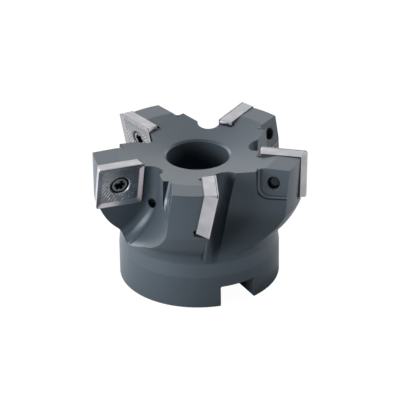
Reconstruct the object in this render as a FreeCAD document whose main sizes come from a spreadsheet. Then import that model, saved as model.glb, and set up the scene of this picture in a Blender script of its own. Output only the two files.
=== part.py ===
import FreeCAD, Part
import math
import os
import Sketcher

# Indexable face mill: a shell-type cutter body with square inserts, each held by a countersunk screw.
# The cutter stands on its hub's back face, the origin is on the arbor axis in that face, +Z runs
# along the axis towards the cutting face, the first tooth's nose lies over +X and the drive slots
# lie along +Y and -Y. Lengths are in millimetres and angles in degrees.

SIZES = {
    # The cutter
    "cutting_diameter": 63.0,
    "cutter_height": 40.0,
    "tooth_count": 5,
    "axial_rake": 12.0,
    "radial_rake": 8.0,
    "edge_dish": 1.4,
    # The turned outside of the body
    "rim_setback": 1.5,
    "face_setback": 0.5,
    "hub_diameter": 46.4,
    "hub_edge": 0.3,
    "band_height": 9.8,
    "band_taper": 0.4,
    "throat_height": 13.8,
    "throat_radius": 6.0,
    "throat_angle": 42.0,
    "flare_height": 26.0,
    "flare_radius": 20.0,
    "rim_edge": 0.12,
    # The cutting face
    "dish_diameter": 46.6,
    "dish_depth": 2.3,
    "mouth_edge": 0.55,
    # The seat for the arbor and its bolt
    "bore_diameter": 22.0,
    "bore_depth": 20.0,
    "bore_edge": 0.6,
    "web_thickness": 8.0,
    "bolt_hole": 11.0,
    "counterbore": 18.0,
    "slot_width": 10.4,
    "slot_depth": 6.3,
    "slot_corner": 0.8,
    "slot_edge": 0.4,
    # The gullet in front of each tooth
    "wall_setback": 0.3,
    "back_inset": 16.5,
    "bend_depth": 9.0,
    "bend_radius": 22.3,
    "bend_angle": 75.0,
    "flute_inset": 14.7,
    "flute_radius": 3.2,
    "flute_depth": 9.2,
    "flute_bend": 16.6,
    "coolant_hole": 2.5,
    "coolant_shift": 1.4,
    "coolant_drop": 11.3,
    "coolant_turn": 48.0,
    "coolant_rise": 24.0,
    "coolant_length": 16.5,
    # The pocket that seats an insert
    "pocket_gap": 0.03,
    "relief_radius": 0.6,
    # The recess behind each tooth and the threaded hole that opens into it
    "recess_depth": 12.2,
    "recess_reach": 4.5,
    "recess_corner": 3.4,
    "recess_foot": 0.8,
    "thread_hole": 3.5,
    "thread_edge": 0.2,
    # The insert
    "insert_edge": 13.8,
    "insert_thickness": 3.97,
    "insert_clearance": 15.0,
    "insert_nose": 0.8,
    "land_width": 0.14,
    "breaker_width": 1.25,
    "breaker_depth": 0.42,
    "insert_hole": 4.5,
    "countersink": 6.0,
    "countersink_depth": 1.3,
    # The insert screw
    "screw_sink": 0.3,
    "screw_shank": 3.4,
    "screw_tip": 0.4,
    "screw_short": 1.4,
    "socket_core": 2.5,
    "socket_lobe": 0.45,
    "socket_depth": 1.5,
}

LOBES = 6
CLEAR = 8.0

doc = FreeCAD.newDocument("indexable_face_mill")
sheet = doc.addObject("Spreadsheet::Sheet", "sizes")
for row, (name, number) in enumerate(SIZES.items(), start=1):
    sheet.set(f"A{row}", name)
    sheet.set(f"B{row}", str(number))
    sheet.setAlias(f"B{row}", name)
doc.recompute()

# Frames, as expressions. The rake frame has its origin at the nose, X outwards along the end edge,
# Y down the tooth and Z out of the rake face. The insert frame has its origin at the insert's centre.
RAKE = (
    "placement(vector(sizes.cutting_diameter / 2; 0; sizes.cutter_height);"
    " rotation(-sizes.radial_rake; 0; -90 - sizes.axial_rake))"
)
INSERT = (
    RAKE + " * placement(vector(0; 0; 0); rotation(vector(0; 0; 1); -sizes.edge_dish))"
    " * placement(vector(-sizes.insert_edge / 2; sizes.insert_edge / 2; 0); rotation(0; 0; 0))"
)


def shifted(frame, x, y, z):
    """The frame moved by x, y, z along its own axes."""
    return f"{frame} * placement(vector({x}; {y}; {z}); rotation(0; 0; 0))"


def amount(expression):
    """The present value of an expression on the sheet."""
    result = sheet.evalExpression(expression)
    return float(getattr(result, "Value", result))


def new_body(label):
    body = doc.addObject("PartDesign::Body", label)
    body.Label = label
    return body


def origin_item(body, role):
    return next(item for item in body.Origin.OriginFeatures if item.Role == role)


def new_sketch(body, name, plane="XY_Plane", frame=None):
    """A sketch on one of the body's own origin planes, moved to the frame if there is one."""
    sketch = body.newObject("Sketcher::SketchObject", name)
    sketch.AttachmentSupport = (origin_item(body, plane), "")
    sketch.MapMode = "FlatFace"
    if frame:
        sketch.setExpression("AttachmentOffset", frame)
    doc.recompute()
    return sketch


def new_feature(body, kind, name, settings, bound=None):
    made = body.newObject("PartDesign::" + kind, name)
    for key, setting in settings.items():
        setattr(made, key, setting)
    for key, expression in (bound or {}).items():
        made.setExpression(key, expression)
    return made


def bind_point(sketch, item, end, x, y):
    """Fixes one end of a sketch item at x, y, both expressions."""
    for kind, expression in (("DistanceX", x), ("DistanceY", y)):
        number = sketch.addConstraint(Sketcher.Constraint(kind, -1, 1, item, end, amount(expression)))
        sketch.setExpression(f"Constraints[{number}]", expression)


def draw(sketch, corners, closed=True):
    """Joins corners by lines and arcs. A corner is (x, y) or (x, y, radius of the arc to the next
    corner), all expressions; a radius that starts with a minus sign turns clockwise."""
    spots = [FreeCAD.Vector(amount(corner[0]), amount(corner[1]), 0) for corner in corners]
    count = len(corners) if closed else len(corners) - 1
    starts = []
    ends = []
    for index in range(count):
        here = spots[index]
        there = spots[(index + 1) % len(spots)]
        if len(corners[index]) == 2:
            starts.append((sketch.addGeometry(Part.LineSegment(here, there), False), 1))
            ends.append((starts[-1][0], 2))
            continue
        expression = corners[index][2].lstrip("-")
        clockwise = corners[index][2].startswith("-")
        radius = amount(expression)
        chord = there - here
        rise = math.sqrt(max(radius ** 2 - chord.Length ** 2 / 4, 0))
        side = FreeCAD.Vector(-chord.y, chord.x, 0) * ((-rise if clockwise else rise) / chord.Length)
        centre = (here + there) * 0.5 + side
        first, last = (there, here) if clockwise else (here, there)
        angles = [math.atan2(spot.y - centre.y, spot.x - centre.x) for spot in (first, last)]
        circle = Part.Circle(centre, FreeCAD.Vector(0, 0, 1), radius)
        item = sketch.addGeometry(Part.ArcOfCircle(circle, *angles), False)
        number = sketch.addConstraint(Sketcher.Constraint("Radius", item, radius))
        sketch.setExpression(f"Constraints[{number}]", expression)
        starts.append((item, 2 if clockwise else 1))
        ends.append((item, 1 if clockwise else 2))
    for index in range(count):
        if closed or index + 1 < count:
            following = starts[(index + 1) % count]
            sketch.addConstraint(Sketcher.Constraint("Coincident", *ends[index], *following))
        bind_point(sketch, *starts[index], corners[index][0], corners[index][1])
    if not closed:
        bind_point(sketch, *ends[-1], corners[-1][0], corners[-1][1])


def draw_circle(sketch, x, y, radius):
    centre = FreeCAD.Vector(amount(x), amount(y), 0)
    circle = Part.Circle(centre, FreeCAD.Vector(0, 0, 1), amount(radius))
    item = sketch.addGeometry(circle, False)
    number = sketch.addConstraint(Sketcher.Constraint("Radius", item, amount(radius)))
    sketch.setExpression(f"Constraints[{number}]", radius)
    bind_point(sketch, item, 3, x, y)


def turn(body, name, corners, kind="Revolution"):
    """Revolves a closed outline in the XZ plane, drawn as radius and height, about the Z axis."""
    sketch = new_sketch(body, name + "_outline", "XZ_Plane")
    draw(sketch, corners)
    settings = {"Profile": sketch, "ReferenceAxis": (sketch, ["V_Axis"]), "Angle": 360.0}
    return new_feature(body, kind, name, settings)


def rounded_square(half, corner):
    """The corners of a square about the origin whose own corners are round."""
    flat = f"({half} - {corner})"
    return [
        (half, f"-{flat}"), (half, flat, corner),
        (flat, half), (f"-{flat}", half, corner),
        (f"-{half}", flat), (f"-{half}", f"-{flat}", corner),
        (f"-{flat}", f"-{half}"), (flat, f"-{half}", corner),
    ]


# The cutter body
RIM_RADIUS = "sizes.cutting_diameter / 2 - sizes.rim_setback"
FACE = "sizes.cutter_height - sizes.face_setback"
HUB_RADIUS = "sizes.hub_diameter / 2"
NECK_RADIUS = HUB_RADIUS + " - sizes.band_taper"
BORE_RADIUS = "sizes.bore_diameter / 2"
BOLT_RADIUS = "sizes.bolt_hole / 2"
MOUTH_RADIUS = "sizes.counterbore / 2"
WEB_TOP = "sizes.bore_depth + sizes.web_thickness"
DISH_FLOOR = FACE + " - sizes.dish_depth"


def blank(body):
    """The turned blank: hub, tapered band, throat, flare, rim, dished face and stepped bore."""
    turn(body, "blank", [
        (BOLT_RADIUS, "sizes.bore_depth"),
        (BORE_RADIUS, "sizes.bore_depth"),
        (BORE_RADIUS, "sizes.bore_edge"),
        (BORE_RADIUS + " + sizes.bore_edge", "0"),
        (HUB_RADIUS + " - sizes.hub_edge", "0", "sizes.hub_edge"),
        (HUB_RADIUS, "sizes.hub_edge"),
        (HUB_RADIUS, "sizes.band_height"),
        (NECK_RADIUS, "sizes.throat_height", "-sizes.throat_radius"),
        (
            NECK_RADIUS + " + sizes.throat_radius * (1 - cos(sizes.throat_angle))",
            "sizes.throat_height + sizes.throat_radius * sin(sizes.throat_angle)",
            "sizes.flare_radius",
        ),
        (RIM_RADIUS, "sizes.flare_height"),
        (RIM_RADIUS, FACE + " - sizes.rim_edge"),
        (RIM_RADIUS + " - sizes.rim_edge", FACE),
        ("sizes.dish_diameter / 2", FACE),
        (MOUTH_RADIUS + " + sizes.mouth_edge", DISH_FLOOR),
        (MOUTH_RADIUS, DISH_FLOOR + " - sizes.mouth_edge"),
        (MOUTH_RADIUS, WEB_TOP),
        (BOLT_RADIUS, WEB_TOP),
    ])


def drive_slots(body):
    """One slot right across the back face, along Y, for the arbor's two drive keys, with chamfered edges."""
    sketch = new_sketch(body, "slot_outline", "XZ_Plane")
    half = "(sizes.slot_width / 2)"
    wide = f"({half} + sizes.slot_edge + {CLEAR})"
    inner = f"({half} - sizes.slot_corner)"
    shoulder = "sizes.slot_depth - sizes.slot_corner"
    draw(sketch, [
        (f"-{wide}", f"-{CLEAR}"),
        (wide, f"-{CLEAR}"),
        (half, "sizes.slot_edge"),
        (half, shoulder, "sizes.slot_corner"),
        (inner, "sizes.slot_depth"),
        (f"-{inner}", "sizes.slot_depth", "sizes.slot_corner"),
        (f"-{half}", shoulder),
        (f"-{half}", "sizes.slot_edge"),
    ])
    settings = {"Profile": sketch, "SideType": "Symmetric"}
    new_feature(body, "Pocket", "drive_slots", settings, {"Length": "sizes.hub_diameter * 1.5"})
    ends = new_sketch(body, "slot_ends")
    hub = "sqrt(pow(sizes.hub_diameter / 2; 2) - pow(sizes.slot_width / 2; 2))"
    for side in ("", "-"):
        near = f"{side}({hub} - sizes.slot_edge)"
        far = f"{side}({hub} + {CLEAR})"
        draw(ends, [(half, near), (wide, far), (f"-{wide}", far), (f"-{half}", near)])
    new_feature(body, "Pocket", "slot_edges", {"Profile": ends, "Reversed": True}, {"Length": "sizes.slot_depth"})


# The frame of the flute's path, half-way up the round root that it cuts
ROOT = shifted(RAKE, 0, 0, "sizes.flute_radius - sizes.wall_setback")


def flute_line():
    """The flute's path: straight down beside the insert, then bending outwards above the hub."""
    return [
        ("-sizes.flute_inset", f"-{CLEAR}"),
        ("-sizes.flute_inset", "sizes.flute_depth", "-sizes.flute_bend"),
        (
            "-sizes.flute_inset + sizes.flute_bend * (1 - cos(sizes.bend_angle))",
            "sizes.flute_depth + sizes.flute_bend * sin(sizes.bend_angle)",
        ),
    ]


def gullet(body):
    """The chip space above the flute's path. Its floor runs down the next tooth's back and bends
    outwards above the hub. It is cut along the next tooth's radius."""
    sketch = new_sketch(body, "gullet_outline", frame=ROOT)
    run_out = "sizes.bend_depth + sizes.bend_radius * sin(sizes.bend_angle)"
    draw(sketch, [
        (f"{CLEAR}", f"-{CLEAR}"),
        ("-sizes.back_inset", f"-{CLEAR}"),
        ("-sizes.back_inset", "sizes.bend_depth", "-sizes.bend_radius"),
        ("-sizes.back_inset + sizes.bend_radius * (1 - cos(sizes.bend_angle))", run_out),
        (f"{CLEAR}", run_out),
    ])
    settings = {"Profile": sketch, "UseCustomVector": True, "AlongSketchNormal": False}
    bound = {
        "Direction.x": "cos(360 / sizes.tooth_count)",
        "Direction.y": "sin(360 / sizes.tooth_count)",
        "Direction.z": "0",
        "Length": "sizes.cutting_diameter",
    }
    return new_feature(body, "Pocket", "gullet", settings, bound)


def wall(body):
    """The flat wall under the insert, parallel to the rake face, out to the flute's path."""
    sketch = new_sketch(body, "wall_outline", frame=shifted(RAKE, 0, 0, "-sizes.wall_setback"))
    line = flute_line()
    draw(sketch, [(f"{CLEAR}", f"-{CLEAR}"), *line, (f"{CLEAR}", line[-1][1])])
    settings = {"Profile": sketch, "Reversed": True}
    return new_feature(body, "Pocket", "wall", settings, {"Length": "sizes.flute_radius * 1.2"})


def flute(body):
    """The round root between the wall and the next tooth's back."""
    path = new_sketch(body, "flute_path", frame=ROOT)
    draw(path, flute_line(), closed=False)
    section = new_sketch(
        body, "flute_section", frame=shifted(ROOT, "-sizes.flute_inset", f"-{CLEAR}", 0)
        + " * placement(vector(0; 0; 0); rotation(vector(1; 0; 0); 90))"
    )
    draw_circle(section, "0", "0", "sizes.flute_radius")
    return new_feature(body, "SubtractivePipe", "flute", {"Profile": section, "Spine": path})


def coolant_hole(body):
    """A hole drilled across the flute, through its round root and down to the arbor bore's end."""
    frame = (
        shifted(ROOT, "-sizes.flute_inset + sizes.coolant_shift", "sizes.coolant_drop", 0)
        + " * placement(vector(0; 0; 0); rotation(-sizes.coolant_turn; 90 - sizes.coolant_rise; 0))"
    )
    sketch = new_sketch(body, "coolant_outline", frame=frame)
    draw_circle(sketch, "0", "0", "sizes.coolant_hole / 2")
    return new_feature(body, "Pocket", "coolant_hole", {"Profile": sketch}, {"Length": "sizes.coolant_length"})


def seat(body):
    """The insert's pocket: a flat floor and two walls that lean with the insert's clearance."""
    frame = shifted(INSERT, 0, 0, "-sizes.insert_thickness")
    sketch = new_sketch(body, "seat_outline", frame=frame)
    foot = (
        "(sizes.insert_edge / 2 - sizes.insert_thickness * tan(sizes.insert_clearance)"
        " + sizes.pocket_gap)"
    )
    draw(sketch, [
        (f"-{foot}", "-sizes.insert_edge"),
        ("sizes.insert_edge", "-sizes.insert_edge"),
        ("sizes.insert_edge", foot),
        (f"-{foot}", foot),
    ])
    settings = {"Profile": sketch, "Reversed": True}
    bound = {
        "Length": "sizes.insert_thickness",
        "TaperAngle": "sizes.insert_clearance",
    }
    pocket = new_feature(body, "Pocket", "seat", settings, bound)
    path = new_sketch(body, "relief_path", frame=frame)
    draw(path, [
        (f"-{foot}", "-sizes.insert_edge"),
        (f"-{foot}", foot),
        ("sizes.insert_edge", foot),
    ], closed=False)
    start = shifted(frame, f"-{foot}", "-sizes.insert_edge", 0)
    section = new_sketch(
        body, "relief_section", frame=start + " * placement(vector(0; 0; 0); rotation(vector(1; 0; 0); 90))"
    )
    draw_circle(section, "0", "0", "sizes.relief_radius")
    settings = {"Profile": section, "Spine": path, "Transition": "Right corner"}
    relief = new_feature(body, "SubtractivePipe", "relief", settings)
    return [pocket, relief]


def recess_corners(inward):
    """The recess's outline, open to the face and the rim, with its walls moved inwards."""
    reach = f"(sizes.recess_reach - {inward})"
    corner = f"(sizes.recess_corner - {inward})"
    return [
        (f"-{reach}", "-sizes.insert_edge"),
        ("sizes.insert_edge", "-sizes.insert_edge"),
        ("sizes.insert_edge", reach),
        (f"-{reach} + {corner}", reach, corner),
        (f"-{reach}", f"{reach} - {corner}"),
    ]


def screw_recess(body):
    """The recess on the tooth's back, with a sloping foot, and the insert screw's hole into it."""
    floor = new_sketch(body, "recess_floor", frame=shifted(INSERT, 0, 0, "-sizes.recess_depth"))
    draw(floor, recess_corners("sizes.recess_foot"))
    step = "-sizes.recess_depth - sizes.recess_foot"
    walls = new_sketch(body, "recess_walls", frame=shifted(INSERT, 0, 0, step))
    draw(walls, recess_corners("0"))
    settings = {"Profile": floor, "Sections": [walls], "Ruled": True}
    foot = new_feature(body, "SubtractiveLoft", "recess_foot", settings)
    recess = new_feature(body, "Pocket", "recess", {"Profile": walls}, {"Length": "sizes.recess_depth / 2"})
    upright = INSERT + " * placement(vector(0; 0; 0); rotation(vector(1; 0; 0); 90))"
    hole_outline = new_sketch(body, "thread_outline", frame=upright)
    radius = "sizes.thread_hole / 2"
    draw(hole_outline, [
        ("0", "0"),
        (radius, "0"),
        (radius, "-sizes.recess_depth + sizes.thread_edge"),
        (radius + " + 2 * sizes.thread_edge", "-sizes.recess_depth - sizes.thread_edge"),
        ("0", "-sizes.recess_depth - sizes.thread_edge"),
    ])
    settings = {"Profile": hole_outline, "ReferenceAxis": (hole_outline, ["V_Axis"]), "Angle": 360.0}
    return [foot, recess, new_feature(body, "Groove", "thread_hole", settings)]


def make_cutter_body():
    body = new_body("cutter_body")
    blank(body)
    drive_slots(body)
    doc.recompute()
    tooth = [gullet(body), wall(body), flute(body), coolant_hole(body), *seat(body), *screw_recess(body)]
    doc.recompute()
    settings = {"Originals": tooth, "Axis": (origin_item(body, "Z_Axis"), [""]), "Angle": 360.0}
    teeth = new_feature(body, "PolarPattern", "teeth", settings, {"Occurrences": "sizes.tooth_count"})
    body.Tip = teeth
    return body


def place_on_tooth(body, number):
    turn_to = f"placement(vector(0; 0; 0); rotation({number - 1} * 360 / sizes.tooth_count; 0; 0))"
    body.setExpression("Placement", f"{turn_to} * {INSERT}")


PLATEAU = "-sizes.breaker_depth"
SINK_RADIUS = "sizes.countersink / 2"
HOLE_RADIUS = "sizes.insert_hole / 2"
SINK_FOOT = "-sizes.breaker_depth - sizes.countersink_depth"


def make_insert(number):
    """A square insert in its own frame, rake face up: tapered pad, chip breaker and screw hole."""
    body = new_body(f"insert_{number}")
    outline = new_sketch(body, f"insert_{number}_outline")
    draw(outline, rounded_square("sizes.insert_edge / 2", "sizes.insert_nose"))
    settings = {"Profile": outline, "Reversed": True}
    bound = {"Length": "sizes.insert_thickness", "TaperAngle": "-sizes.insert_clearance"}
    new_feature(body, "Pad", f"insert_{number}_blank", settings, bound)
    rim = new_sketch(body, f"insert_{number}_rim")
    draw(rim, rounded_square(
        "(sizes.insert_edge / 2 - sizes.land_width)", "(sizes.insert_nose - sizes.land_width)"
    ))
    floor = new_sketch(body, f"insert_{number}_floor", frame=shifted("placement(vector(0; 0; 0);"
                       " rotation(0; 0; 0))", 0, 0, PLATEAU))
    draw(floor, rounded_square(
        "(sizes.insert_edge / 2 - sizes.land_width - sizes.breaker_width)", "sizes.insert_nose"
    ))
    settings = {"Profile": rim, "Sections": [floor], "Ruled": True}
    new_feature(body, "SubtractiveLoft", f"insert_{number}_breaker", settings)
    turn(body, f"insert_{number}_hole", [
        ("0", "1"),
        (SINK_RADIUS, "1"),
        (SINK_RADIUS, PLATEAU),
        (HOLE_RADIUS, SINK_FOOT),
        (HOLE_RADIUS, "-sizes.insert_thickness - 1"),
        ("0", "-sizes.insert_thickness - 1"),
    ], "Groove")
    place_on_tooth(body, number)
    return body


def make_insert_screw(number):
    """A countersunk screw with a six-lobe socket, in the frame of its insert."""
    body = new_body(f"insert_screw_{number}")
    slope = f"(({SINK_RADIUS} - {HOLE_RADIUS}) / sizes.countersink_depth)"
    head_top = f"{PLATEAU} - sizes.screw_sink"
    head_radius = f"{SINK_RADIUS} - sizes.screw_sink * {slope}"
    shank = "sizes.screw_shank / 2"
    neck = f"{PLATEAU} - ({SINK_RADIUS} - {shank}) / {slope}"
    tip = "-sizes.recess_depth + sizes.screw_short"
    turn(body, f"screw_{number}_turned", [
        ("0", tip),
        (f"{shank} - sizes.screw_tip", tip),
        (shank, f"{tip} + sizes.screw_tip"),
        (shank, neck),
        (head_radius, head_top),
        ("0", head_top),
    ])
    core = new_sketch(body, f"screw_{number}_core", frame=f"placement(vector(0; 0; {head_top});"
                      " rotation(0; 0; 0))")
    draw_circle(core, "0", "0", "sizes.socket_core / 2")
    new_feature(body, "Pocket", f"screw_{number}_socket", {"Profile": core}, {"Length": "sizes.socket_depth"})
    lobe = new_sketch(body, f"screw_{number}_lobe", frame=f"placement(vector(0; 0; {head_top});"
                      " rotation(0; 0; 0))")
    draw_circle(lobe, "sizes.socket_core / 2", "0", "sizes.socket_lobe")
    cut = new_feature(body, "Pocket", f"screw_{number}_lobe_cut", {"Profile": lobe},
                      {"Length": "sizes.socket_depth"})
    doc.recompute()
    settings = {"Originals": [cut], "Axis": (origin_item(body, "Z_Axis"), [""]), "Angle": 360.0,
                "Occurrences": LOBES}
    body.Tip = new_feature(body, "PolarPattern", f"screw_{number}_lobes", settings)
    place_on_tooth(body, number)
    return body


def check(bodies):
    """Stops with a message if any object of the document or any sub-part's solid is not sound."""
    for item in doc.Objects:
        if {"Invalid", "Error"} & set(item.State):
            raise RuntimeError(f"{item.Label} could not be made: {item.State}")
    for body in bodies:
        if body.Shape.isNull() or not body.Shape.isValid() or len(body.Shape.Solids) != 1:
            raise RuntimeError(f"{body.Label} is not one sound solid")


teeth = range(1, int(amount("sizes.tooth_count")) + 1)
parts = [make_cutter_body()]
parts += [make_insert(number) for number in teeth]
parts += [make_insert_screw(number) for number in teeth]
doc.recompute()
check(parts)
os.makedirs("parts", exist_ok=True)
for part in parts:
    part.Shape.exportStep(f"parts/{part.Label}.step")
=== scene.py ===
import math

import bpy
from mathutils import Matrix, Vector

# Looks of an indexable face mill: a satin dark steel cutter body, coated carbide inserts and dark
# countersunk insert screws. Every piece keeps its solid's own mesh and gets its finish here. The
# origin is on the arbor axis in the hub's back face, +Z runs towards the cutting face and the
# first tooth's nose lies over +X. Lengths are in millimetres, and the studio's are in metres.

MM = 0.001
TOOTH_COUNT = 5
TOOTH_STEP = 360 / TOOTH_COUNT

# The insert's place on the first tooth, with the angles in degrees
CUTTING_RADIUS = 31.5
CUTTER_HEIGHT = 40.0
AXIAL_RAKE = 12.0
RADIAL_RAKE = 8.0
EDGE_DISH = 1.4

# The insert: a land and a chip breaker run round a flat floor with the countersink in its middle
INSERT_EDGE = 13.8
INSERT_NOSE = 0.8
INSERT_THICKNESS = 3.97
LAND_WIDTH = 0.14
BREAKER_WIDTH = 1.25
BREAKER_DEPTH = 0.42
COUNTERSINK_RADIUS = 3.0

# The insert screw's head and its socket's floor, as heights from the rake face
HEAD_TOP = -0.72
SOCKET_FLOOR = -2.22

# The recess behind a tooth: how far its two walls lie from the screw's axis, the radius of the
# corner between them, and the tooth's back as a height from the rake face
RECESS_REACH = 4.5
RECESS_CORNER = 3.4
TOOTH_BACK = -11.8

# Where the marks begin and end. Each pair is a smooth step: its low end and its high end.

# The painted highlight on the tapered band, up the hub
BAND_HIGHLIGHT_RISE = (9.7, 9.9)
BAND_HIGHLIGHT_FALL = (13.5, 14.4)
# The painted shade in the gap round an insert: inside its outline, above its seat and above its
# rake face
SHADED_GAP_RISE = (-0.4, -0.25)
SHADED_GAP_FALL = (0.4, 0.7)
SHADED_GAP_SEAT = (-0.5, -0.2)
SHADED_GAP_FACE = (0.2, 0.5)
# The recess's lines of painted shade and the painted highlight at its wall's foot, inside its
# outline, and where they run out towards its open side
RIM_SHADE_LINE = ((-0.5, -0.3), (0.02, 0.12))
WALL_FOOT_HIGHLIGHT = ((0.05, 0.2), (0.55, 0.7))
FOOT_SHADE_LINE = ((0.62, 0.76), (0.84, 0.98))
OPEN_SIDE = (3.5, 5.5)
# The rake face, inside the insert's outline and above the floor, and the floor about its edge
RAKE_EDGE = (0.02, 0.1)
RAKE_BOTTOM = (-0.1, -0.03)
FLOOR_EDGE = (-0.2, 0.2)
# The painted shade along the land: inside the outline, and above the insert's low edge
SHADED_LAND_WIDTH = (0.16, 0.3)
SHADED_LAND_HEIGHT = (0.6, 0.9)
# The flanks' painted shade: along the seam above the seat, and in the gap that faces the pocket's
# wall
SHADED_SEAM_HEIGHT = (0.06, 0.3)
WALL_GAP_START = (-5.9, -5.3)
WALL_GAP_TOP = (-0.5, -0.2)
# The countersink's wall inside its rim, darkened by painted shade, and the soft corner beside the
# rim and the slope
SINK_RIM = 0.42
SLOPE_SOFT = (0.5, 0.8)
SINK_SOFT = (0, 0.5)
# The screw: its head below the top and inside the rim, the head's ring of painted highlight, the
# socket's floor, which carries a painted highlight, from below and above and within its walls,
# and the tip
HEAD_SIDE = (-0.25, -0.12)
HEAD_RIM = (2.1, 2.22)
HEAD_HIGHLIGHT_RING = (1.6, 1.9)
SOCKET_BELOW = (-0.1, -0.05)
SOCKET_ABOVE = (0.02, 0.1)
SOCKET_REACH = (0.6, 0.9)
SCREW_TIP = (-6, -5)

# How far each bevel rounds the edges over
STEEL_EDGE = 0.15
INSERT_OUTLINE = 0.14
INSERT_SLOPE = 0.5
SCREW_EDGE = 0.2

# Finishes, as linear colours
BODY_STEEL = (0.065, 0.083, 0.101, 1)
CARBIDE = (0.37, 0.373, 0.40, 1)
RAKE_COATING = (0.46, 0.425, 0.455, 1)
FLOOR_COATING = (0.36, 0.375, 0.40, 1)
SCREW_STEEL = (0.20, 0.205, 0.215, 1)
PALE_FLOOR = (0.86, 0.87, 0.88, 1)
DARK_CARD = (0.02, 0.02, 0.02, 1)
BLACK = (0, 0, 0, 1)
WHITE = (1, 1, 1, 1)

# How light each mark is against its finish, where 1 is the finish's own colour
STEEL_CLOUD = (0.97, 1.09)
BAND_HIGHLIGHT = 1.12
GAP_PAINTED_SHADE = 0.12
RECESS_FOOT_HIGHLIGHT = 1.6
RECESS_LINE_PAINTED_SHADE = 0.2
FOOT_SHADE_LINE_STRENGTH = 0.7
FLOOR_MOTTLE = (0.55, 0.92)
STROKE_SHADE = 1.75
LAND_PAINTED_SHADE = 0.15
SINK_PAINTED_SHADE = 0.1
FLANK_CLOUD = (0.87, 1.13)
SEAM_PAINTED_SHADE = 0.12
WALL_GAP_PAINTED_SHADE = 0.06
HEAD_MIDDLE_AND_HIGHLIGHT = (0.7, 1.5)
SCREW_SHADOW = 0.06

# How far the noise of a cloud has to be from its middle to show fully
CLOUD_RANGE = (0.3, 0.7)

# The strokes on the insert's floor: radians of their wave per millimetre, how far they wander,
# how much of a crest shows, where the noise breaks them, how far they reach from the screw's axis
# and where they fade out towards the low edge
STROKE_PITCH = 5.2
STROKE_WANDER = 6
STROKE_CREST = (0.2, 0.95)
STROKE_BREAK = (0.40, 0.54)
STROKE_START = (-0.2, 0.2)
STROKE_REACH = (5.0, 6.4)
STROKE_FADE = (-5.0, -0.5)

# The screw tip's fine rings: radians of their wave per millimetre, how much of a crest shows and
# how strongly
RING_PITCH = 11
RING_CREST = (0.4, 1.0)
RING_STRENGTH = 0.15

# The floor, a hair below the hub's back face so that the two don't lie in one plane, and the
# shade that gloss sees on it: its middle, its dark part and its dim part
FLOOR_HALF_WIDTH = 3.0
FLOOR_LEVEL = -0.02 * MM
SHADE_PLACE = (-0.005, 0.012)
DARK_REACH = (0.012, 0.020)
DIM_REACH = (0.026, 0.050)
DIM_GLOW = 0.42
GLOW_STRENGTH = 1.08
GLOW_SHARE = 0.9

# The world's light on the object, where 1 is what the camera sees
WORLD_LIGHT = 0.05

# The dark card behind the camera
CARD_DISTANCE = 1.1
CARD_HALF_WIDTH = 0.75
CARD_FOOT = 0.02
CARD_TOP = 1.6

# The softboxes: turn from the camera's and tilt in degrees, size, and power in watts
SOFTBOX_DISTANCE = 1.2
SOFTBOX_AIM = 0.02
SOFTBOXES = {
    "left back softbox": {"turn": -112, "tilt": 10, "width": 2.2, "height": 1.0, "power": 28},
    "left softbox": {"turn": -66, "tilt": 8, "width": 1.6, "height": 0.9, "power": 16},
    "front left softbox": {"turn": -52, "tilt": 6, "width": 0.7, "height": 0.5, "power": 7},
    "right softbox": {"turn": 112, "tilt": 10, "width": 2.2, "height": 1.0, "power": 19},
    "back softbox": {"turn": 180, "tilt": 30, "width": 1.2, "height": 0.9, "power": 4},
}

# The camera: its place, the direction it looks along, its roll and its lens
CAMERA_PLACE = (0.3000, 0.5575, 0.3627)
CAMERA_TURN = 151.674
CAMERA_TILT = 28.261
CAMERA_ROLL = -0.92
CAMERA_LENS = 224.5
SENSOR_WIDTH = 36

BEVEL_SAMPLES = 6

# The sockets of a Mix node for each kind of value: factor, first, second and result
MIX_SOCKETS = {"RGBA": (0, 6, 7, 2), "VECTOR": (0, 4, 5, 1)}


class Value:
    """A node's output with the arithmetic that Math nodes offer."""

    def __init__(self, nodes, socket):
        self.nodes = nodes
        self.socket = socket

    def _math(self, operation, *operands):
        return self.nodes.add("Math", {"operation": operation}, operands)

    def __add__(self, other):
        return self._math("ADD", self, other)

    __radd__ = __add__

    def __mul__(self, other):
        return self._math("MULTIPLY", self, other)

    __rmul__ = __mul__

    def __sub__(self, other):
        return self._math("SUBTRACT", self, other)

    def __rsub__(self, other):
        return self._math("SUBTRACT", other, self)

    def __lt__(self, other):
        return self._math("LESS_THAN", self, other)

    def __gt__(self, other):
        return self._math("GREATER_THAN", self, other)

    def __abs__(self):
        return self._math("ABSOLUTE", self)

    def __pow__(self, other):
        return self._math("POWER", self, other)

    def wave(self):
        return self._math("SINE", self)

    def highest(self, other):
        return self._math("MAXIMUM", self, other)

    def lowest(self, other):
        return self._math("MINIMUM", self, other)

    def ease(self, low, high):
        """0 below low and 1 above high, with a smooth step between."""
        settings = {"interpolation_type": "SMOOTHSTEP"}
        inputs = {"Value": self, "From Min": low, "From Max": high}
        return self.nodes.add("MapRange", settings, inputs)

    def fall(self, low, high):
        """1 below low and 0 above high, with a smooth step between."""
        return 1 - self.ease(low, high)

    def band(self, rise, fall):
        """1 between two smooth steps and 0 outside them. Each step is a pair, low and high."""
        return self.ease(*rise) * self.fall(*fall)


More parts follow.
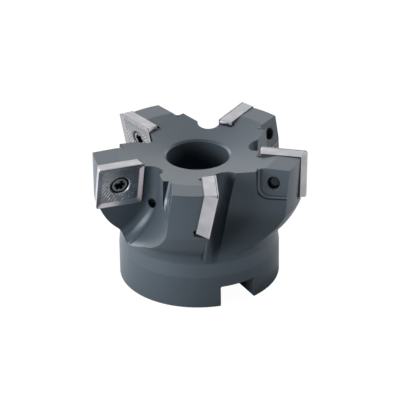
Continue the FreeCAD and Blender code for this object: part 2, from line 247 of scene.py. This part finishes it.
class Nodes:
    """A node tree that is filled by short calls."""

    def __init__(self, tree):
        self.tree = tree
        tree.nodes.clear()

    def add(self, kind, settings=None, inputs=None, output=0):
        """Adds a node by its type: settings first, then the values or links of its sockets."""
        node = self.tree.nodes.new("ShaderNode" + kind)
        for name, setting in (settings or {}).items():
            setattr(node, name, setting)
        pairs = inputs.items() if isinstance(inputs, dict) else enumerate(inputs or ())
        for name, given in pairs:
            if isinstance(given, Value):
                self.tree.links.new(given.socket, node.inputs[name])
            else:
                node.inputs[name].default_value = given
        return Value(self, node.outputs[output]) if node.outputs else node

    def part_of(self, value, output):
        """Another output of the node that a value comes from."""
        return Value(self, value.socket.node.outputs[output])

    def split(self, vector):
        """The three coordinates of a vector."""
        apart = self.add("SeparateXYZ", None, [vector])
        return [self.part_of(apart, axis) for axis in range(3)]

    def place(self):
        """The place on the piece, in the part's frame and in metres."""
        return self.add("TexCoord", output="Object")

    def noise(self, place, scale, detail):
        return self.add("TexNoise", None, {"Vector": place, "Scale": scale, "Detail": detail})

    def mix(self, share, first, second, kind="RGBA"):
        """A colour between two colours, or with kind VECTOR a vector between two vectors."""
        factor, start, end, result = MIX_SOCKETS[kind]
        inputs = {factor: share, start: first, end: second}
        return self.add("Mix", {"data_type": kind}, inputs, output=result)

    def clouded(self, share, colour, shades):
        """A colour that varies from the first to the second of its shades."""
        return self.mix(share, shaded(colour, shades[0]), shaded(colour, shades[1]))

    def marked(self, under, mark, colour, shade):
        """A colour with a mark over it, which is a lighter or darker shade of the metal's."""
        return self.mix(mark, under, shaded(colour, shade))

    def softened(self, radius):
        """The normal with the edges rounded over by a radius in millimetres."""
        return self.add("Bevel", {"samples": BEVEL_SAMPLES}, {"Radius": radius * MM})

    def raised(self, height, strength, depth, normal):
        """The normal with a height over it, where 1 stands for a depth in millimetres."""
        return self.add("Bump", None, {
            "Strength": strength, "Distance": depth * MM, "Height": height, "Normal": normal,
        })

    def metal(self, colour, metallic, roughness, gloss, normal):
        """The finish of a metal surface."""
        shader = self.add("BsdfPrincipled", None, {
            "Base Color": colour, "Metallic": metallic, "Roughness": roughness,
            "Specular IOR Level": gloss, "Normal": normal,
        })
        self.add("OutputMaterial", None, {"Surface": shader})


def new_material(name):
    material = bpy.data.materials.new(name)
    material.use_nodes = True
    return material, Nodes(material.node_tree)


def shaded(colour, factor):
    """The colour made lighter or darker by a factor."""
    return tuple(channel * factor for channel in colour[:3]) + (1,)


def at(level, step):
    """A smooth step's two ends, moved to a level."""
    return level + step[0], level + step[1]


def distance(x, y):
    """How far a point lies from the origin: the root of the sum of the squares."""
    return (x * x + y * y) ** 0.5


def turned(degrees, axis):
    """A turn about an axis, as a matrix."""
    return Matrix.Rotation(math.radians(degrees), 4, axis)


def to_insert(number):
    """The matrix from the part's millimetres to an insert's own frame: its origin is the middle
    of the rake face, which points up. The first tooth's frame starts at its nose, leans by both
    rakes and by the dish of the cutting edge, and each next tooth is one step further round."""
    nose = Matrix.Translation((CUTTING_RADIUS, 0, CUTTER_HEIGHT))
    rake = turned(-RADIAL_RAKE, "Z") @ turned(-90 - AXIAL_RAKE, "X")
    centre = Matrix.Translation((-INSERT_EDGE / 2, INSERT_EDGE / 2, 0))
    insert = nose @ rake @ turned(-EDGE_DISH, "Z") @ centre
    return (turned(TOOTH_STEP * (number - 1), "Z") @ insert).inverted()


def insert_place(nodes, number, place):
    """A place of the part carried into an insert's own frame, in millimetres."""
    matrix = to_insert(number)
    return nodes.add("Mapping", {"vector_type": "POINT"}, {
        "Vector": place, "Location": matrix.translation, "Rotation": matrix.to_euler(),
        "Scale": (1 / MM, 1 / MM, 1 / MM),
    })


def to_first_tooth(nodes, place):
    """The place turned round the axis by whole tooth steps, until it lies within half a step of
    the first tooth."""
    x, y, z = nodes.split(place)
    half_step = math.radians(TOOTH_STEP) / 2
    angle = nodes.add("Math", {"operation": "ARCTAN2"}, [y, x])
    angle = nodes.add("Math", {"operation": "WRAP"}, [angle, half_step, -half_step])
    radius = distance(x, y)
    along = nodes.add("Math", {"operation": "COSINE"}, [angle]) * radius
    return nodes.add("CombineXYZ", None, [along, angle.wave() * radius, z])


def inside_corner(past_x, past_y, radius):
    """How far a point lies inside a rounded corner, from how far it is past the arc's centre each
    way: the radius less the distance from the centre, and along a side the distance to it."""
    beyond = distance(past_x.highest(0), past_y.highest(0))
    return radius - beyond - past_x.highest(past_y).lowest(0)


def edge_inset(x, y):
    """How far a point lies inside the insert's rounded outline."""
    straight = INSERT_EDGE / 2 - INSERT_NOSE
    return inside_corner(abs(x) - straight, abs(y) - straight, INSERT_NOSE)


def shade_beside_insert(nodes, tooth):
    """1 where painted shade darkens the narrow gap round an insert: a band about its outline,
    from its seat to its face.
    """
    x, y, z = nodes.split(tooth)
    about_outline = edge_inset(x, y).band(SHADED_GAP_RISE, SHADED_GAP_FALL)
    return about_outline * z.band(at(-INSERT_THICKNESS, SHADED_GAP_SEAT), SHADED_GAP_FACE)


def recess_shade_and_highlight(nodes, tooth):
    """Lines of painted shade round the recess behind a tooth, along its rim and the foot of its
    wall, and a painted highlight on the foot between them. The outline is a corner's arc with a
    straight wall from each end, and towards the open side the marks run out."""
    x, y, z = nodes.split(tooth)
    straight = RECESS_REACH - RECESS_CORNER
    inside = inside_corner(0 - x - straight, y - straight, RECESS_CORNER)
    behind = z.fall(TOOTH_BACK - 0.1, TOOTH_BACK + 0.1) * x.fall(*OPEN_SIDE)
    # Lines of painted shade at the rim and at the wall's foot, and a painted highlight on the foot
    lines = inside.band(*FOOT_SHADE_LINE) * FOOT_SHADE_LINE_STRENGTH + inside.band(*RIM_SHADE_LINE)
    return lines * behind, inside.band(*WALL_FOOT_HIGHLIGHT) * behind


def body_steel():
    """Satin dark steel, a little cloudy and grained, with softened edges. It carries a painted
    highlight on the tapered band, painted shade in the gaps round the inserts, and lines of
    painted shade round the recesses with a painted highlight between them."""
    material, nodes = new_material("satin dark steel")
    place = nodes.place()
    cloud = nodes.noise(place, scale=90.0, detail=3.0)
    grain = nodes.noise(place, scale=2600.0, detail=2.0)
    _, _, z = nodes.split(place)
    rise, fall = [[height * MM for height in step] for step in (BAND_HIGHLIGHT_RISE, BAND_HIGHLIGHT_FALL)]
    tooth = insert_place(nodes, 1, to_first_tooth(nodes, place))
    lines, foot = recess_shade_and_highlight(nodes, tooth)
    colour = nodes.clouded(cloud, BODY_STEEL, STEEL_CLOUD)
    # A painted highlight on the tapered band
    colour = nodes.marked(colour, z.band(rise, fall), BODY_STEEL, BAND_HIGHLIGHT)
    # Painted shade in the narrow gap round each insert
    colour = nodes.marked(colour, shade_beside_insert(nodes, tooth), BODY_STEEL, GAP_PAINTED_SHADE)
    # A painted highlight on the foot of each recess's wall, and lines of painted shade round it
    colour = nodes.marked(colour, foot, BODY_STEEL, RECESS_FOOT_HIGHLIGHT)
    colour = nodes.marked(colour, lines, BODY_STEEL, RECESS_LINE_PAINTED_SHADE)
    normal = nodes.raised(grain, strength=0.08, depth=0.02, normal=nodes.softened(STEEL_EDGE))
    nodes.metal(colour, metallic=0.3, roughness=0.31 + 0.06 * cloud, gloss=0.16, normal=normal)
    return material


def floor_strokes(nodes, place):
    """Short strokes round the countersink. A stroke is a crest of a diagonal wave, bent by the
    radius, that one noise makes wander and another breaks up."""
    x, y, _ = nodes.split(place)
    radius = distance(x, y)
    wander = nodes.noise(place, scale=0.5, detail=1.0) * STROKE_WANDER
    crest = ((x - y) * STROKE_PITCH + radius + wander).wave().ease(*STROKE_CREST)
    broken = nodes.noise(place, scale=1.1, detail=1.0).ease(*STROKE_BREAK)
    ring = radius.band(at(COUNTERSINK_RADIUS, STROKE_START), STROKE_REACH)
    return crest * broken * ring * y.ease(*STROKE_FADE)


def rake_colour(nodes, inset, y, on_floor, strokes, grain):
    """The rake face: a floor mottled by its grain and marked by strokes, and round it the slope
    of the chip breaker, whose land carries painted shade along one edge."""
    floor = nodes.clouded(grain.ease(*CLOUD_RANGE), FLOOR_COATING, FLOOR_MOTTLE)
    floor = nodes.marked(floor, strokes, FLOOR_COATING, STROKE_SHADE)
    # Painted shade along the land at the insert's low edge
    shaded_land = inset.fall(*SHADED_LAND_WIDTH) * y.fall(*at(-INSERT_EDGE / 2, SHADED_LAND_HEIGHT))
    slope = nodes.marked(RAKE_COATING, shaded_land, RAKE_COATING, LAND_PAINTED_SHADE)
    return nodes.mix(on_floor, slope, floor)


def flank_colour(nodes, place):
    """The ground flanks: pale and a little cloudy, with painted shade along the seam at the seat
    and in the gap where a flank faces the pocket's wall."""
    x, y, z = nodes.split(place)
    cloud = nodes.noise(place, scale=0.22, detail=2.0).ease(*CLOUD_RANGE)
    # Painted shade along the seam above the seat
    seam = z.fall(*at(-INSERT_THICKNESS, SHADED_SEAM_HEIGHT))
    # Painted shade in the gap where a flank faces the pocket's wall
    wall_side = x < INSERT_NOSE - INSERT_EDGE / 2
    shaded_wall_gap = wall_side * y.ease(*WALL_GAP_START) * z.fall(*WALL_GAP_TOP)
    colour = nodes.clouded(cloud, CARBIDE, FLANK_CLOUD)
    colour = nodes.marked(colour, seam, CARBIDE, SEAM_PAINTED_SHADE)
    return nodes.marked(colour, shaded_wall_gap, CARBIDE, WALL_GAP_PAINTED_SHADE)


def carbide(number):
    """Coated carbide: pale flanks, and a metallic rake face that is smoother and carries strokes
    on its floor. The countersink is darkened by painted shade. The slope and the floor flow into
    each other, while the outer edges are crisp."""
    material, nodes = new_material(f"coated carbide {number}")
    place = insert_place(nodes, number, nodes.place())
    x, y, z = nodes.split(place)
    inset = edge_inset(x, y)
    radius = distance(x, y)
    on_rake = inset.ease(*RAKE_EDGE) * z.ease(*at(-BREAKER_DEPTH, RAKE_BOTTOM))
    on_floor = on_rake * inset.ease(*at(LAND_WIDTH + BREAKER_WIDTH, FLOOR_EDGE))
    in_shaded_sink = radius < COUNTERSINK_RADIUS - SINK_RIM
    strokes = floor_strokes(nodes, place) * on_floor
    grain = nodes.noise(place, scale=2.2, detail=4.0)
    rake = rake_colour(nodes, inset, y, on_floor, strokes, grain)
    colour = nodes.mix(on_rake, flank_colour(nodes, place), rake)
    # Painted shade in the countersink
    colour = nodes.marked(colour, in_shaded_sink, FLOOR_COATING, SINK_PAINTED_SHADE)
    flowing = on_rake * inset.ease(*SLOPE_SOFT) * radius.ease(*at(COUNTERSINK_RADIUS, SINK_SOFT))
    crisp, soft = nodes.softened(INSERT_OUTLINE), nodes.softened(INSERT_SLOPE)
    normal = nodes.mix(flowing, crisp, soft, kind="VECTOR")
    normal = nodes.raised(strokes + 0.3 * grain, strength=0.6, depth=0.025, normal=normal)
    metallic, roughness = 0.35 + 0.65 * on_rake, 0.36 - 0.13 * on_rake
    nodes.metal(colour, metallic, roughness, gloss=0.3, normal=normal)
    return material


def screw_steel(number):
    """Dark screw steel: a dull metallic head with a ring of painted highlight, and elsewhere
    nearly black with painted shade, round the head, in the socket and on the tip, but for a
    painted highlight on the socket's floor and faint rings on the tip."""
    material, nodes = new_material(f"dark screw steel {number}")
    x, y, z = nodes.split(insert_place(nodes, number, nodes.place()))
    radius = distance(x, y)
    on_head = z.ease(*at(HEAD_TOP, HEAD_SIDE)) * radius.fall(*HEAD_RIM)
    at_floor = z.band(at(SOCKET_FLOOR, SOCKET_BELOW), at(SOCKET_FLOOR, SOCKET_ABOVE))
    on_socket_floor = at_floor * radius.fall(*SOCKET_REACH)
    tip_rings = (radius * RING_PITCH).wave().ease(*RING_CREST) * z.fall(*SCREW_TIP)
    # A painted highlight on the socket's floor, and faint rings on the tip
    socket_highlight_and_tip_rings = on_socket_floor.highest(tip_rings * RING_STRENGTH)
    # The head: darker in the middle, with a ring of painted highlight towards its rim
    head = nodes.clouded(radius.ease(*HEAD_HIGHLIGHT_RING), SCREW_STEEL, HEAD_MIDDLE_AND_HIGHLIGHT)
    # Painted shade, nearly black, everywhere off the head's top
    colour = nodes.mix(on_head, shaded(SCREW_STEEL, SCREW_SHADOW), head)
    colour = nodes.mix(socket_highlight_and_tip_rings, colour, CARBIDE)
    nodes.metal(colour, metallic=0.9, roughness=0.3, gloss=0.3, normal=nodes.softened(SCREW_EDGE))
    return material


def dress(node, material):
    """Gives a CAD node its finish."""
    node.data.materials.clear()
    node.data.materials.append(material)


def seen_directly(nodes):
    """1 for camera, glossy and transmission rays, so that metal shows the background too."""
    path = nodes.add("LightPath", output="Is Camera Ray")
    seen = path.highest(nodes.part_of(path, "Is Glossy Ray"))
    return seen.highest(nodes.part_of(path, "Is Transmission Ray"))


def set_world():
    """White where it is seen, and a soft even light on the object."""
    world = bpy.data.worlds.new("studio")
    world.use_nodes = True
    bpy.context.scene.world = world
    nodes = Nodes(world.node_tree)
    strength = WORLD_LIGHT + (1 - WORLD_LIGHT) * seen_directly(nodes)
    background = nodes.add("Background", None, {"Color": WHITE, "Strength": strength})
    nodes.add("OutputWorld", None, {"Surface": background})


def direction(turn, tilt):
    """The way from the cutter to a viewer at a turn and tilt in degrees. Turn 0 looks along +Y."""
    turn, tilt = math.radians(turn), math.radians(tilt)
    flat = math.cos(tilt)
    return Vector((math.sin(turn) * flat, -math.cos(turn) * flat, math.sin(tilt)))


def stage_panel(name, corners, material):
    """A flat panel of the studio, which isn't part of the cutter."""
    mesh = bpy.data.meshes.new(name)
    mesh.from_pydata([tuple(corner) for corner in corners], [], [(0, 1, 2, 3)])
    mesh.materials.append(material)
    panel = bpy.data.objects.new(name, mesh)
    bpy.context.collection.objects.link(panel)
    return panel


def make_floor():
    """A wide pale floor under the hub's back face, white where the camera sees it. In gloss it is
    dark under the cutter and dim close round it, as the shade at its foot would make it."""
    material, nodes = new_material("pale floor")
    x, y, _ = nodes.split(nodes.place())
    radius = distance(x - SHADE_PLACE[0], y - SHADE_PLACE[1])
    bright = DIM_GLOW + (1 - DIM_GLOW) * radius.ease(*DIM_REACH)
    unshaded = radius.ease(*DARK_REACH) * bright
    shown = nodes.add("LightPath", output="Is Camera Ray").highest(unshaded)
    glow_colour = nodes.mix(shown, BLACK, WHITE)
    glow = nodes.add("Emission", None, {"Color": glow_colour, "Strength": GLOW_STRENGTH})
    lit = nodes.add("BsdfDiffuse", None, {"Color": PALE_FLOOR})
    share = GLOW_SHARE * seen_directly(nodes)
    shader = nodes.add("MixShader", None, {0: share, 1: lit, 2: glow})
    nodes.add("OutputMaterial", None, {"Surface": shader})
    low, high, level = -FLOOR_HALF_WIDTH, FLOOR_HALF_WIDTH, FLOOR_LEVEL
    corners = [(low, low, level), (high, low, level), (high, high, level), (low, high, level)]
    stage_panel("floor", corners, material)


def make_dark_card():
    """A dark wall behind the camera that only gloss shows, so that steel turned to the viewer
    stays deep."""
    material, nodes = new_material("dark card")
    lit = nodes.add("BsdfDiffuse", None, {"Color": DARK_CARD})
    nodes.add("OutputMaterial", None, {"Surface": lit})
    back = direction(CAMERA_TURN, 0) * CARD_DISTANCE
    side = direction(CAMERA_TURN + 90, 0) * CARD_HALF_WIDTH
    low, high = Vector((0, 0, CARD_FOOT)), Vector((0, 0, CARD_TOP))
    corners = [back - side + low, back + side + low, back + side + high, back - side + high]
    card = stage_panel("dark card", corners, material)
    card.visible_camera = False
    card.visible_diffuse = False
    card.visible_shadow = False
    card.visible_transmission = False


def make_softbox(name, turn, tilt, width, height, power):
    """A broad area light that looks at the cutter."""
    data = bpy.data.lights.new(name, "AREA")
    data.shape = "RECTANGLE"
    data.size = width
    data.size_y = height
    data.energy = power
    light = bpy.data.objects.new(name, data)
    bpy.context.collection.objects.link(light)
    way = direction(CAMERA_TURN + turn, tilt)
    light.location = way * SOFTBOX_DISTANCE + Vector((0, 0, SOFTBOX_AIM))
    light.rotation_euler = way.to_track_quat("Z", "Y").to_euler()


def make_camera():
    data = bpy.data.cameras.new("camera")
    data.lens = CAMERA_LENS
    data.sensor_width = SENSOR_WIDTH
    camera = bpy.data.objects.new("camera", data)
    bpy.context.collection.objects.link(camera)
    look = direction(CAMERA_TURN, CAMERA_TILT).to_track_quat("Z", "Y").to_matrix().to_4x4()
    camera.matrix_world = Matrix.Translation(CAMERA_PLACE) @ look @ turned(CAMERA_ROLL, "Z")
    bpy.context.scene.camera = camera


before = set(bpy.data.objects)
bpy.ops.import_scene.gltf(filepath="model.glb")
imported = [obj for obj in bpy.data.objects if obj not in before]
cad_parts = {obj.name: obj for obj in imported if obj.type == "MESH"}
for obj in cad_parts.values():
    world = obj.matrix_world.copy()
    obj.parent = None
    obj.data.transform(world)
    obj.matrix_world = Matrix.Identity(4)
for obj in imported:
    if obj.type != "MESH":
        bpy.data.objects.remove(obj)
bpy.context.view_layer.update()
bpy.context.scene.view_settings.view_transform = "Standard"

dress(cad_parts["cutter_body"], body_steel())
for number in range(1, TOOTH_COUNT + 1):
    dress(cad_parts[f"insert_{number}"], carbide(number))
    dress(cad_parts[f"insert_screw_{number}"], screw_steel(number))

set_world()
make_floor()
make_dark_card()
for name, sizes in SOFTBOXES.items():
    make_softbox(name, **sizes)
make_camera()
